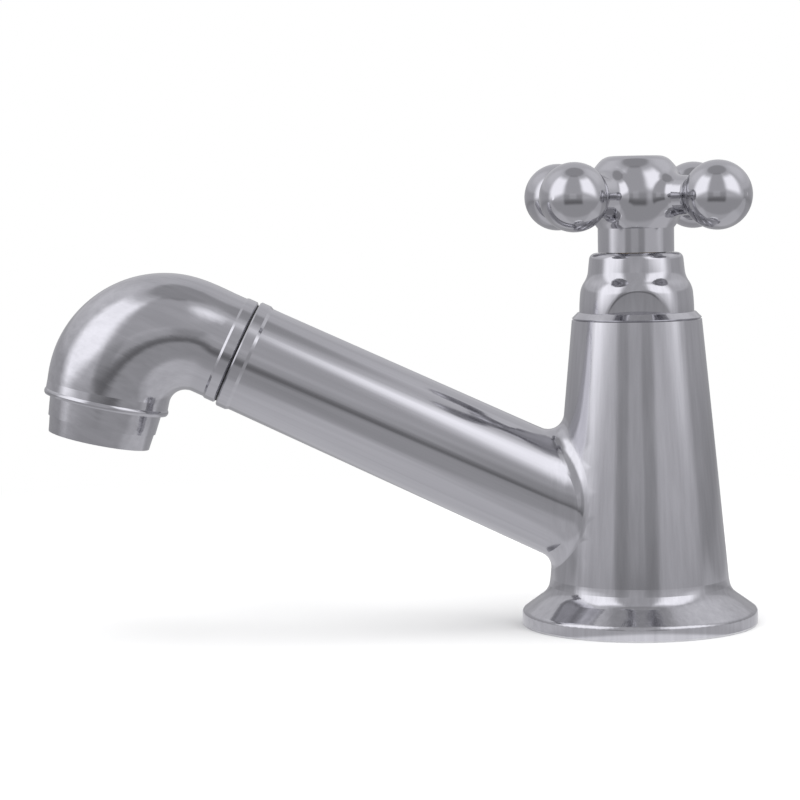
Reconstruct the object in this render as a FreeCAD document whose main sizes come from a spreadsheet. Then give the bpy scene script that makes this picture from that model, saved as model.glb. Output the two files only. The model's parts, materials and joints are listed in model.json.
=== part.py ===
import FreeCAD, Part
import math
import os
import Sketcher

# Deck-mounted pillar tap: a tapered column on a flared foot, a straight arm rising to a
# downturned elbow, and a four-ball cross handle on a quarter-turn valve.
# Origin: centre of the foot's underside, which rests on the deck. +Z is up and the spout
# points along -X. Lengths are in millimetres, angles in degrees.

doc = FreeCAD.newDocument("CrossHandleTap")
sheet = doc.addObject("Spreadsheet::Sheet", "Sizes")


class Size:
    """A number together with the sheet formula that gives it."""

    def __init__(self, value, formula):
        self.value = float(value)
        self.formula = formula

    def __add__(self, other):
        return combine(self, other, "+", self.value + sized(other).value)

    def __radd__(self, other):
        return sized(other) + self

    def __sub__(self, other):
        return combine(self, other, "-", self.value - sized(other).value)

    def __rsub__(self, other):
        return sized(other) - self

    def __mul__(self, other):
        return combine(self, other, "*", self.value * sized(other).value)

    def __rmul__(self, other):
        return sized(other) * self

    def __truediv__(self, other):
        return combine(self, other, "/", self.value / sized(other).value)

    def __rtruediv__(self, other):
        return sized(other) / self

    def __neg__(self):
        return 0 - self


def sized(number):
    return number if isinstance(number, Size) else Size(number, repr(float(number)))


def combine(left, right, sign, value):
    return Size(value, f"({left.formula} {sign} {sized(right).formula})")


def sine(angle):
    return Size(math.sin(math.radians(angle.value)), f"sin({angle.formula} * 1 deg)")


def cosine(angle):
    return Size(math.cos(math.radians(angle.value)), f"cos({angle.formula} * 1 deg)")


def root(number):
    return Size(math.sqrt(number.value), f"sqrt({number.formula})")


def larger(left, right):
    return Size(max(left.value, right.value), f"max({left.formula}; {right.formula})")


def size(name, value):
    """Adds one driving dimension to the sheet."""
    row = f"A{len(sheet.getUsedCells()) + 1}"
    sheet.set(row, str(value))
    sheet.setAlias(row, name)
    return Size(value, f"Sizes.{name}")


# Clearances
slip = size("slip", 0.05)              # radial, between a shaft and its bore
film = size("film", 0.02)              # between faces that slide on each other
air = size("air", 0.3)                 # between a turning piece and a fixed one

# Foot and column
foot_r = size("foot_r", 26.3)
foot_edge = size("foot_edge", 3.1)     # height of the foot's upright edge
flare_z = size("flare_z", 7.5)         # where the flare meets the column
column_foot_r = size("column_foot_r", 20.2)
column_top_r = size("column_top_r", 14.27)
column_top = size("column_top", 69.8)
foot_round = size("foot_round", 1.1)
flare_round = size("flare_round", 4.2)
flare_ease = size("flare_ease", 12.0)  # wider arc that starts the flare
ease_turn = size("ease_turn", 8.0)     # angle that the wider arc turns through
rim = size("rim", 1.3)                 # sloped edge round the column's top, at 45 degrees
rim_round = size("rim_round", 0.4)
line_width = size("line_width", 0.45)  # fine line turned under the rim
line_deep = size("line_deep", 0.25)

# Arm
arm_z = size("arm_z", 19.9)            # where the arm's axis crosses the column's
arm_rise = size("arm_rise", 25.4)
arm_reach = size("arm_reach", 89.0)    # from the column's axis to the seam, level
arm_root_r = size("arm_root_r", 12.95)
arm_end_r = size("arm_end_r", 12.2)
arm_round = size("arm_round", 3.6)     # fillet where the arm leaves the column
water_r = size("water_r", 7.5)         # waterway through arm and elbow
seam_gap = size("seam_gap", 0.4)
collar_width = size("collar_width", 2.4)
collar_lift = size("collar_lift", 0.35)
collar_edge = size("collar_edge", 0.3)
elbow_collar_lift = size("elbow_collar_lift", 0.25)

# Elbow
tube_r = size("tube_r", 11.9)
inner_bend_r = size("inner_bend_r", 3.75)
inner_bend_at = size("inner_bend_at", 5.7)     # along the arm's line, from the seam
outer_bend_r = size("outer_bend_r", 26.2)
outer_bend_at = size("outer_bend_at", 11.3)
elbow_turn = size("elbow_turn", 102.8)
spigot_r = size("spigot_r", 10.5)
spigot_length = size("spigot_length", 13.0)
elbow_ring_thick = size("elbow_ring_thick", 1.6)
seam_washer_r = size("seam_washer_r", 11.6)

# Outlet
bead_r = size("bead_r", 14.0)
bead_at = size("bead_at", 2.4)         # below the end of the bend
bead_half = size("bead_half", 0.65)
housing_top_r = size("housing_top_r", 12.55)
housing_step_r = size("housing_step_r", 12.1)
housing_end_r = size("housing_end_r", 11.35)
housing_step = size("housing_step", 4.55)
housing_height = size("housing_height", 8.15)
housing_ledge = size("housing_ledge", 0.3)
housing_thread_r = size("housing_thread_r", 10.9)
housing_thread = size("housing_thread", 4.5)
housing_bore_r = size("housing_bore_r", 9.4)
housing_lip = size("housing_lip", 0.9)
screen_thick = size("screen_thick", 0.6)
screen_hole_r = size("screen_hole_r", 0.6)
screen_pitch = size("screen_pitch", 2.7)
insert_wall = size("insert_wall", 1.2)
insert_hole_r = size("insert_hole_r", 0.9)
outlet_washer = size("outlet_washer", 1.5)

# Bonnet dome over the valve
dome_foot_r = size("dome_foot_r", 12.73)
dome_foot_taper = size("dome_foot_taper", 0.5)  # lean of the barrel-shaped lower wall, at its foot
dome_taper = size("dome_taper", 6.0)            # lean at its top, and of the upper wall
dome_shoulder = size("dome_shoulder", 4.25)     # height of its lower wall
dome_neck_r = size("dome_neck_r", 10.72)
dome_neck = size("dome_neck", 9.1)              # height where the upper wall starts
dome_height = size("dome_height", 13.1)
dome_round = size("dome_round", 1.5)
dome_wall = size("dome_wall", 1.2)

# Cross handle
hub_r = size("hub_r", 11.0)
hub_z = size("hub_z", 95.4)
hub_height = size("hub_height", 8.85)           # of the flat top, above the hub's centre
hub_round = size("hub_round", 3.8)
neck_r = size("neck_r", 8.45)
ball_r = size("ball_r", 7.55)
ball_reach = size("ball_reach", 22.0)
branch_r = size("branch_r", 5.1)
branch_end_r = size("branch_end_r", 4.25)
branch_round = size("branch_round", 1.6)       # where a branch meets its ball
branch_blend = size("branch_blend", 5.0)       # wide fillet where it meets the hub
handle_rest = size("handle_rest", -42.2)       # plan angle of the first ball
button_r = size("button_r", 4.9)
button_thick = size("button_thick", 2.4)
screw_r = size("screw_r", 2.0)
screw_head_r = size("screw_head_r", 3.5)
screw_head = size("screw_head", 2.6)
screw_length = size("screw_length", 12.0)
socket_r = size("socket_r", 6.5)
socket_web = size("socket_web", 3.4)           # metal between socket and screw head
spline_r = size("spline_r", 4.0)
spline_length = size("spline_length", 10.0)

# Valve: quarter-turn ceramic discs in a screwed-in headwork
seat_z = size("seat_z", 38.1)
disc_r = size("disc_r", 7.25)
disc_thick = size("disc_thick", 3.0)
port_r = size("port_r", 5.4)
port_angle = size("port_angle", 80.0)
seal_thick = size("seal_thick", 3.2)
barrel_r = size("barrel_r", 9.0)
driver_thick = size("driver_thick", 3.5)
tongue_width = size("tongue_width", 2.5)
tongue_deep = size("tongue_deep", 1.4)
ring_thick = size("ring_thick", 0.8)
lug_r = size("lug_r", 6.3)
lug_height = size("lug_height", 3.0)
lug_angle = size("lug_angle", 60.0)
quarter_turn = size("quarter_turn", 90.0)
stop_play = size("stop_play", 1.0)
stem_r = size("stem_r", 4.5)
stem_ring_thick = size("stem_ring_thick", 1.5)
window_r = size("window_r", 3.2)
headwork_thread_r = size("headwork_thread_r", 10.44)
headwork_thread = size("headwork_thread", 12.0)
flange_r = size("flange_r", 11.3)
flange_thick = size("flange_thick", 1.8)
hex_across = size("hex_across", 19.0)
hex_height = size("hex_height", 4.2)
shroud_thread_r = size("shroud_thread_r", 8.9)
clip_thick = size("clip_thick", 0.8)
clip_r = size("clip_r", 6.4)
washer_thick = size("washer_thick", 1.0)

# Inlet tail and fixing under the deck
tail_r = size("tail_r", 10.48)         # half-inch pipe thread, over the crests
tail_bore_r = size("tail_bore_r", 7.5)
tail_drop = size("tail_drop", 45.0)
tail_grip = size("tail_grip", 14.0)    # length screwed up into the foot
relief_r = size("relief_r", 9.6)
relief = size("relief", 1.5)
tail_chamfer = size("tail_chamfer", 1.0)
riser_r = size("riser_r", 7.0)
riser_bore_r = size("riser_bore_r", 5.0)
riser_grip_r = size("riser_grip_r", 8.5)
riser_grip = size("riser_grip", 7.0)
chamber_r = size("chamber_r", 12.4)
chamber_foot_r = size("chamber_foot_r", 15.5)
chamber_top = size("chamber_top", 54.0)
chamber_cone = size("chamber_cone", 2.0)
deck_thick = size("deck_thick", 8.0)
gasket_in_r = size("gasket_in_r", 17.5)
gasket_out_r = size("gasket_out_r", 22.0)
gasket_thick = size("gasket_thick", 2.0)
back_washer_r = size("back_washer_r", 20.0)
back_washer_thick = size("back_washer_thick", 2.0)
clamp_washer_r = size("clamp_washer_r", 18.0)
clamp_washer_thick = size("clamp_washer_thick", 1.5)
nut_across = size("nut_across", 27.0)
nut_height = size("nut_height", 8.0)

doc.recompute()


def vector(x, y, z):
    return FreeCAD.Vector(sized(x).value, sized(y).value, sized(z).value)


def bind(thing, prop, number):
    """Ties one property to the sheet."""
    thing.setExpression(prop, sized(number).formula)


def place(thing, x=0, y=0, z=0, axis=(0, 1, 0), angle=0, prop="Placement"):
    turned_by = FreeCAD.Rotation(FreeCAD.Vector(*axis), sized(angle).value)
    setattr(thing, prop, FreeCAD.Placement(vector(x, y, z), turned_by))
    for letter, number in zip("xyz", (x, y, z)):
        if isinstance(number, Size):
            bind(thing, f"{prop}.Base.{letter}", number)
    if isinstance(angle, Size):
        bind(thing, f"{prop}.Rotation.Angle", angle)


def new_body(name):
    body = doc.addObject("PartDesign::Body", name)
    body.Label = name
    return body


def origin_plane(body, role):
    return next(f for f in body.Origin.OriginFeatures if f.Role == role)


def arc_between(start, end, radius, side):
    """Arc from start to end, its centre on the left (side 1) or right (-1) of the way."""
    chord = end - start
    middle = (start + end) * 0.5
    across = FreeCAD.Vector(-chord.y, chord.x, 0).normalize()
    rise = math.sqrt(max(radius**2 - (chord.Length / 2) ** 2, 0.0))
    centre = middle + across * (rise * side)
    first, last = (start, end) if side > 0 else (end, start)
    angles = [math.atan2(p.y - centre.y, p.x - centre.x) for p in (first, last)]
    circle = Part.Circle(centre, FreeCAD.Vector(0, 0, 1), radius)
    return Part.ArcOfCircle(circle, angles[0], angles[1])


def outline_sketch(body, name, outline, role="XZ_Plane"):
    """Closed outline of (across, up) points; a third item makes the side that ends there
    an arc, as a signed radius: positive curves with its centre on the left."""
    sketch = body.newObject("Sketcher::SketchObject", name)
    sketch.AttachmentSupport = [(origin_plane(body, role), "")]
    sketch.MapMode = "FlatFace"
    points = [vector(p[0], p[1], 0) for p in outline]
    starts, ends = [], []
    for i, start in enumerate(points):
        goal = outline[(i + 1) % len(outline)]
        end = points[(i + 1) % len(points)]
        if len(goal) == 2:
            sketch.addGeometry(Part.LineSegment(start, end))
            starts.append(1)
        else:
            radius = sized(goal[2])
            side = 1 if radius.value > 0 else -1
            sketch.addGeometry(arc_between(start, end, abs(radius.value), side))
            starts.append(1 if side > 0 else 2)
            number = sketch.addConstraint(Sketcher.Constraint("Radius", i, abs(radius.value)))
            sketch.setExpression(f"Constraints[{number}]", (radius * side).formula)
        ends.append(3 - starts[-1])
    for i in range(len(points)):
        after = (i + 1) % len(points)
        sketch.addConstraint(Sketcher.Constraint("Coincident", i, ends[i], after, starts[after]))
    for i, point in enumerate(outline):
        for kind, axis, number in (("DistanceX", -2, point[0]), ("DistanceY", -1, point[1])):
            if not isinstance(number, Size):
                sketch.addConstraint(Sketcher.Constraint("PointOnObject", i, starts[i], axis))
                continue
            pin = Sketcher.Constraint(kind, -1, 1, i, starts[i], number.value)
            sketch.setExpression(f"Constraints[{sketch.addConstraint(pin)}]", number.formula)
    return sketch


def turn(body, name, outline, kind="Revolution", axis="V_Axis"):
    """Revolves an outline about its own upright axis, or cuts it with kind Groove."""
    sketch = outline_sketch(body, f"{name}_outline", outline)
    feature = body.newObject(f"PartDesign::{kind}", name)
    feature.Profile = sketch
    feature.ReferenceAxis = (sketch, [axis])
    feature.Angle = 360
    return feature


def turned(name, outline):
    body = new_body(name)
    turn(body, f"{name}_turned", outline)
    return body


def ring(name, inside, outside, low, high):
    return turned(name, [(inside, low), (outside, low), (outside, high), (inside, high)])


def solid(body, kind, name, **sizes):
    """A PartDesign primitive, such as SubtractiveCylinder, with its sizes bound."""
    feature = body.newObject(f"PartDesign::{kind}", name)
    for prop, number in sizes.items():
        setattr(feature, prop, sized(number).value)
        bind(feature, prop, number)
    return feature


def rounded(body, name, radius, edges):
    doc.recompute()
    base = body.Tip
    names = [f"Edge{i + 1}" for i, edge in enumerate(base.Shape.Edges)
             if not edge.Degenerated and edges(edge)]
    if not names:
        raise RuntimeError(f"{name} finds no edge to round")
    feature = body.newObject("PartDesign::Fillet", name)
    feature.Base = (base, names)
    feature.Radius = sized(radius).value
    bind(feature, "Radius", radius)
    return feature


def level_circle(radius, height):
    """Picks circles about the Z axis by radius and height."""

    def wanted(edge):
        curve = edge.Curve
        if not isinstance(curve, Part.Circle):
            return False
        level = abs(curve.Center.z - sized(height).value) < 1e-3
        return level and abs(curve.Radius - sized(radius).value) < 1e-3

    return wanted


def o_rings(name, groove_r, outside_r, levels):
    """Rings of round section, one solid each, seated in grooves of radius groove_r."""
    rings = []
    for number, level in enumerate(levels):
        torus = doc.addObject("Part::Torus", f"{name}_{number + 1}")
        section = (outside_r - groove_r) / 2
        bind(torus, "Radius1", groove_r + section)
        bind(torus, "Radius2", section)
        place(torus, z=level)
        rings.append(torus)
    group = doc.addObject("Part::Compound", name)
    group.Links = rings
    group.Label = name
    return group


# --- places along the arm and the elbow ---------------------------------------------------

arm_length = arm_reach / cosine(arm_rise)
seam_z = arm_z + arm_length * sine(arm_rise)
arm_tilt = arm_rise - 90               # turns +Z into the arm's direction, about Y


def along_arm(thing):
    """Frame of the elbow: origin at the seam's centre, +Z along the arm, +X its upper side."""
    place(thing, x=-arm_reach, z=seam_z, angle=arm_tilt)


def elbow_wall(turn_angle):
    """Distance of the elbow's outer wall from the inner bend's centre. The outer arc has
    its own centre, further along, so the elbow swells in the bend."""
    off_x = -tube_r - inner_bend_r - (tube_r - outer_bend_r)
    off_z = inner_bend_at - outer_bend_at
    ahead = off_x * cosine(turn_angle) + off_z * sine(turn_angle)
    inside = ahead * ahead - off_x * off_x - off_z * off_z + outer_bend_r * outer_bend_r
    return root(inside) - ahead


def elbow_radius(turn_angle):
    return larger(tube_r, (elbow_wall(turn_angle) - inner_bend_r) / 2)


def on_bend(distance, turn_angle):
    """Point at a distance from the inner bend's centre, in the elbow's frame."""
    x = distance * cosine(turn_angle) - tube_r - inner_bend_r
    z = distance * sine(turn_angle) + inner_bend_at
    return x, z


outlet_r = elbow_radius(elbow_turn)
outlet_x, outlet_z = on_bend(inner_bend_r + outlet_r, elbow_turn)


def at_outlet(thing):
    """Frame of the outlet: origin at the end of the bend, +Z down the outlet."""
    x = outlet_x * sine(arm_rise) - outlet_z * cosine(arm_rise) - arm_reach
    z = outlet_x * cosine(arm_rise) + outlet_z * sine(arm_rise) + seam_z
    place(thing, x=x, z=z, angle=arm_tilt - elbow_turn)


# --- body casting: foot, column and arm ---------------------------------------------------

def wall_lean():
    """Outward slope of the column's wall, going down."""
    return (column_foot_r - column_top_r) / (column_top - flare_z)


def flare_outline():
    """The flare's two arcs, from the foot's slope up to the column's wall, tangent to both.
    Each direction is held as its parts across and down."""
    wall_long = root(1 + wall_lean() * wall_lean())
    wall = wall_lean() / wall_long, 1 / wall_long
    spread = foot_r - column_foot_r
    drop = flare_z - foot_edge
    slope_long = root(spread * spread + drop * drop)
    slope = spread / slope_long, drop / slope_long
    ease = (wall[0] * cosine(ease_turn) + wall[1] * sine(ease_turn),
            wall[1] * cosine(ease_turn) - wall[0] * sine(ease_turn))
    ease_across = flare_ease * (wall[1] - ease[1])
    ease_down = flare_ease * (ease[0] - wall[0])
    across = ease_across + flare_round * (ease[1] - slope[1])
    down = ease_down + flare_round * (slope[0] - ease[0])
    opening = wall[1] * slope[0] - wall[0] * slope[1]
    up_wall = (down * slope[0] - across * slope[1]) / opening
    along_slope = (across * wall[1] - down * wall[0]) / opening
    start_x = column_foot_r - up_wall * wall[0]
    start_z = flare_z + up_wall * wall[1]
    return [
        (column_foot_r + along_slope * slope[0], flare_z - along_slope * slope[1]),
        (start_x + ease_across, start_z - ease_down, -flare_round),
        (start_x, start_z, -flare_ease)]


def make_body_casting():
    rim_low = column_top - rim
    rim_r = column_top_r + rim * wall_lean()
    line_low = rim_low - line_width
    line_r = rim_r + line_width * wall_lean()
    body = turned("body_casting", [
        (0, 0), (foot_r, 0), (foot_r, foot_edge), *flare_outline(),
        (line_r, line_low), (rim_r - line_deep, rim_low - line_width / 2), (rim_r, rim_low),
        (rim_r - rim, column_top), (0, column_top)])
    rounded(body, "foot_fillet", foot_round, level_circle(foot_r, foot_edge))
    rounded(body, "rim_fillet", rim_round, level_circle(rim_r - rim, column_top))

    end = arm_length - seam_gap / 2
    collar_r = arm_end_r + collar_lift
    arm = turn(body, "arm", [
        (0, 0), (arm_root_r, 0),
        (arm_end_r, end - collar_width - collar_lift * 2),
        (collar_r, end - collar_width), (collar_r, end - collar_edge),
        (collar_r - collar_edge, end), (0, end)])
    place(arm.Profile[0], y=arm_z, axis=(0, 0, 1), angle=90 - arm_rise, prop="AttachmentOffset")

    def where_arm_leaves(edge):
        box = edge.BoundBox
        free = not isinstance(edge.Curve, (Part.Circle, Part.Line))
        return free and box.XMax < 0 and box.YLength > arm_end_r.value

    rounded(body, "arm_fillet", arm_round, where_arm_leaves)

    # water chamber with its threaded ends, and the counterbore for the headwork's washer
    core_r = tail_r + slip
    turn(body, "chamber", [
        (0, 0), (core_r, 0), (core_r, tail_grip), (chamber_foot_r, tail_grip + chamber_cone),
        (chamber_r, chamber_top - chamber_cone), (core_r, chamber_top),
        (core_r, column_top - washer_thick), (flange_r + slip, column_top - washer_thick),
        (flange_r + slip, column_top), (0, column_top)], kind="Groove")
    turn(body, "gasket_seat", [
        (gasket_in_r, 0), (gasket_out_r, 0), (gasket_out_r, gasket_thick),
        (gasket_in_r, gasket_thick)], kind="Groove")

    bore_start = chamber_r / 2
    for name, radius, start in (
        ("arm_waterway", water_r, bore_start),
        ("spigot_socket", spigot_r + slip, end - spigot_length - air),
    ):
        cut = solid(body, "SubtractiveCylinder", name, Radius=radius, Height=end - start + 1)
        place(cut, x=-start * cosine(arm_rise), z=arm_z + start * sine(arm_rise), angle=arm_tilt)
    return body


# --- elbow --------------------------------------------------------------------------------

def bend_loft(name, foot, wall):
    """Loft through circles round the bend, at a wall's thickness inside the elbow."""
    stations = 8
    places = [(sized(0), foot, sized(0), tube_r)]
    for step in range(stations + 1):
        angle = elbow_turn * (step / stations)
        radius = elbow_radius(angle)
        places.append((*on_bend(inner_bend_r + radius, angle), -angle, radius))
    circles = []
    for number, (x, z, angle, radius) in enumerate(places):
        circle = doc.addObject("Part::Circle", f"{name}_{number}")
        bind(circle, "Radius", radius - wall)
        place(circle, x=x, z=z, angle=angle)
        circles.append(circle)
    loft = doc.addObject("Part::Loft", name)
    loft.Sections = circles
    loft.Solid = True
    return loft


def make_elbow():
    collar_r = tube_r + elbow_collar_lift
    collar_start = seam_gap / 2
    collar_end = collar_start + collar_width
    foot = collar_end + elbow_collar_lift * 2
    bend = bend_loft("elbow_bend", foot, sized(0))
    inlet = turned("elbow_inlet", [
        (0, -spigot_length), (spigot_r - collar_edge, -spigot_length),
        (spigot_r, -spigot_length + collar_edge), (spigot_r, collar_start),
        (collar_r - collar_edge, collar_start), (collar_r, collar_start + collar_edge),
        (collar_r, collar_end), (tube_r, foot), (0, foot)])
    for number, level in enumerate(elbow_ring_places()):
        half = elbow_ring_thick * 0.6
        turn(inlet, f"ring_groove_{number + 1}", [
            (spigot_r - elbow_ring_thick, level - half), (spigot_r + 1, level - half),
            (spigot_r + 1, level + half), (spigot_r - elbow_ring_thick, level + half)],
            kind="Groove")

    proud = bead_r - outlet_r
    bead_bend = (proud * proud + bead_half * bead_half) / (2 * proud)
    mouth = turned("elbow_mouth", [
        (0, 0), (outlet_r, 0), (outlet_r, bead_at - bead_half),
        (bead_r, bead_at, bead_bend), (outlet_r, bead_at + bead_half, bead_bend),
        (0, bead_at + bead_half)])
    place(mouth, x=outlet_x, z=outlet_z, angle=-elbow_turn)

    outside = doc.addObject("Part::MultiFuse", "elbow_outside")
    outside.Shapes = [inlet, bend, mouth]

    # waterway: straight, round the bend, and the threaded recess for the aerator
    run = doc.addObject("Part::Cylinder", "elbow_run")
    bind(run, "Radius", water_r)
    bind(run, "Height", spigot_length + foot + 1)
    place(run, z=-spigot_length - 1)
    sweep = bend_loft("elbow_sweep", foot, tube_r - water_r)
    recess = doc.addObject("Part::Cylinder", "elbow_recess")
    bind(recess, "Radius", housing_thread_r + slip)
    bind(recess, "Height", outlet_recess() + bead_at + bead_half + 1)
    place(recess, x=outlet_x + sine(elbow_turn) * outlet_recess(),
          z=outlet_z - cosine(elbow_turn) * outlet_recess(), angle=-elbow_turn)
    water = doc.addObject("Part::MultiFuse", "elbow_water")
    water.Shapes = [run, sweep, recess]

    elbow = doc.addObject("Part::Cut", "spout_elbow")
    elbow.Label = "spout_elbow"
    elbow.Base = outside
    elbow.Tool = water
    along_arm(elbow)
    return elbow


def elbow_ring_places():
    """Heights of the two rings on the spigot, in the elbow's frame."""
    return -spigot_length * 0.3, -spigot_length * 0.7


def outlet_recess():
    """Depth of the aerator's recess above the end of the bend."""
    return housing_thread + outlet_washer - bead_at - bead_half


def make_elbow_seals():
    rings = o_rings("elbow_o_rings", spigot_r - elbow_ring_thick + slip / 2, spigot_r + slip / 2,
                    elbow_ring_places())
    along_arm(rings)
    washer = ring("seam_washer", spigot_r + slip, seam_washer_r, -seam_gap / 2, seam_gap / 2)
    along_arm(washer)
    return [rings, washer]


# --- aerator ------------------------------------------------------------------------------

def make_aerator():
    top = bead_at + bead_half
    bottom = top + housing_height
    thread_top = top - housing_thread
    bore_end = bottom - housing_lip
    lip_r = housing_bore_r - housing_lip
    step = top + housing_step
    housing = turned("aerator_housing", [
        (housing_bore_r, thread_top), (housing_thread_r, thread_top), (housing_thread_r, top),
        (housing_top_r, top), (housing_step_r, step), (housing_step_r - housing_ledge, step),
        (housing_end_r, bottom), (lip_r, bottom), (lip_r, bore_end), (housing_bore_r, bore_end)])
    at_outlet(housing)

    washer = ring("aerator_washer", housing_bore_r, housing_thread_r,
                  thread_top - outlet_washer, thread_top)
    at_outlet(washer)

    mesh_r = housing_bore_r - slip
    screen = turned("aerator_screen", [
        (0, bore_end - screen_thick), (mesh_r, bore_end - screen_thick),
        (mesh_r, bore_end), (0, bore_end)])
    drill_rings(screen, screen_hole_r, screen_pitch, (6, 12, 18), thread_top - 1, bottom)
    at_outlet(screen)

    floor = bore_end - screen_thick
    cup_r = mesh_r - insert_wall
    insert = turned("aerator_insert", [
        (0, thread_top), (mesh_r, thread_top), (mesh_r, floor),
        (cup_r, floor), (cup_r, thread_top + insert_wall), (0, thread_top + insert_wall)])
    drill_rings(insert, insert_hole_r, screen_pitch, (6, 12), thread_top - 1, bottom)
    at_outlet(insert)
    return [housing, washer, screen, insert]


def drill_rings(body, radius, pitch, counts, low, high):
    """Rings of holes about the Z axis, each ring one pitch further out."""
    label = body.Label
    depth = high - low
    middle = solid(body, "SubtractiveCylinder", f"{label}_middle", Radius=radius, Height=depth)
    place(middle, z=low)
    for number, count in enumerate(counts):
        name = f"{label}_hole_{number + 1}"
        hole = solid(body, "SubtractiveCylinder", name, Radius=radius, Height=depth)
        place(hole, x=pitch * (number + 1), z=low)
        doc.recompute()
        holes = body.newObject("PartDesign::PolarPattern", f"{label}_ring_{number + 1}")
        holes.Originals = [hole]
        holes.Axis = (origin_plane(body, "Z_Axis"), [""])
        holes.Angle = 360
        holes.Occurrences = count
        body.Tip = holes


# --- bonnet dome --------------------------------------------------------------------------

def make_dome():
    foot = column_top
    shoulder = foot + dome_shoulder
    neck = foot + dome_neck
    top = foot + dome_height
    lean = sine(dome_taper) / cosine(dome_taper)
    barrel_bend = dome_shoulder / (sine(dome_taper) - sine(dome_foot_taper))
    shoulder_r = dome_foot_r - barrel_bend * (cosine(dome_foot_taper) - cosine(dome_taper))
    top_r = dome_neck_r - (top - neck) * lean
    # two equal arcs join the lower wall to the upper one, tangent to both
    drop = shoulder_r - dome_neck_r
    climb = neck - shoulder
    chord = root(drop * drop + climb * climb)
    off_wall = (drop * cosine(dome_taper) - climb * sine(dome_taper)) / chord
    bend_r = chord / (4 * off_wall)
    hex_r = hex_across / root(sized(3)) + slip
    stem_hole = clip_r + air
    body = turned("bonnet_dome", [
        (hex_r + air, foot), (dome_foot_r, foot), (shoulder_r, shoulder, barrel_bend),
        ((shoulder_r + dome_neck_r) / 2, (shoulder + neck) / 2, bend_r),
        (dome_neck_r, neck, -bend_r),
        (top_r, top), (stem_hole, top), (stem_hole, top - dome_wall),
        (shroud_thread_r + slip, top - dome_wall), (shroud_thread_r + slip, hex_top() + slip),
        (hex_r + air, hex_top() + slip)])
    rounded(body, "dome_fillet", dome_round, level_circle(top_r, top))
    return body


def hex_top():
    return column_top + flange_thick + hex_height


# --- cross handle -------------------------------------------------------------------------

def hub_top():
    return hub_z + hub_height


def handle_foot():
    return column_top + dome_height + air / 2


def screw_seat():
    return hub_top() - button_thick - screw_head - slip


def make_cross_handle():
    neck_top = hub_z - root(hub_r * hub_r - neck_r * neck_r)
    flat_r = root(hub_r * hub_r - hub_height * hub_height)
    body = turned("cross_handle", [
        (0, handle_foot()), (neck_r, handle_foot()), (neck_r, neck_top),
        (flat_r, hub_top(), hub_r), (0, hub_top())])
    rounded(body, "hub_fillet", hub_round, level_circle(flat_r, hub_top()))
    # one branch with its ball, turned about its own level axis
    neck_x = ball_reach - root(ball_r * ball_r - branch_end_r * branch_end_r)
    branch = turn(body, "branch", [
        (0, 0), (0, branch_r), (neck_x, branch_end_r), (ball_reach + ball_r, 0, -ball_r)],
        axis="H_Axis")
    place(branch.Profile[0], y=hub_z, prop="AttachmentOffset")
    doc.recompute()
    cross = body.newObject("PartDesign::PolarPattern", "cross")
    cross.Originals = [branch]
    cross.Axis = (origin_plane(body, "Z_Axis"), [""])
    cross.Angle = 360
    cross.Occurrences = 4
    body.Tip = cross

    def meets_ball(edge):
        curve = edge.Curve
        level = isinstance(curve, Part.Circle) and abs(curve.Axis.z) < 0.5
        return level and curve.Radius < branch_r.value + slip.value

    def meets_hub(edge):
        middle = edge.valueAt((edge.FirstParameter + edge.LastParameter) / 2)
        middle.z -= hub_z.value
        off_branch = math.hypot(min(abs(middle.x), abs(middle.y)), middle.z)
        on_hub = abs(middle.Length - hub_r.value) < slip.value
        return on_hub and slip.value < off_branch < branch_r.value + slip.value

    rounded(body, "branch_fillet", branch_round, meets_ball)
    rounded(body, "branch_blend_fillet", branch_blend, meets_hub)
    for name, radius, low, high in (
        ("insert_socket", socket_r, handle_foot() - 1, screw_seat() - socket_web),
        ("screw_hole", screw_r + air, handle_foot(), screw_seat() + 1),
        ("screw_pocket", screw_head_r + air, screw_seat(), hub_top() - button_thick),
        ("button_recess", button_r + slip, hub_top() - button_thick, hub_top() + 1),
    ):
        cut = solid(body, "SubtractiveCylinder", name, Radius=radius, Height=high - low)
        place(cut, z=low)
    place(body, axis=(0, 0, 1), angle=handle_rest)
    return body


def spline(name, radius, low, height):
    """A 24-tooth serration: four hexagonal prisms turned 15 degrees apart."""
    prisms = []
    for number in range(4):
        prism = doc.addObject("Part::Prism", f"{name}_{number + 1}")
        prism.Polygon = 6
        bind(prism, "Circumradius", radius)
        bind(prism, "Height", height)
        place(prism, z=low, axis=(0, 0, 1), angle=15 * number)
        prisms.append(prism)
    fused = doc.addObject("Part::MultiFuse", name)
    fused.Shapes = prisms
    return fused


def spline_top():
    return screw_seat() - socket_web - air


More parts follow.
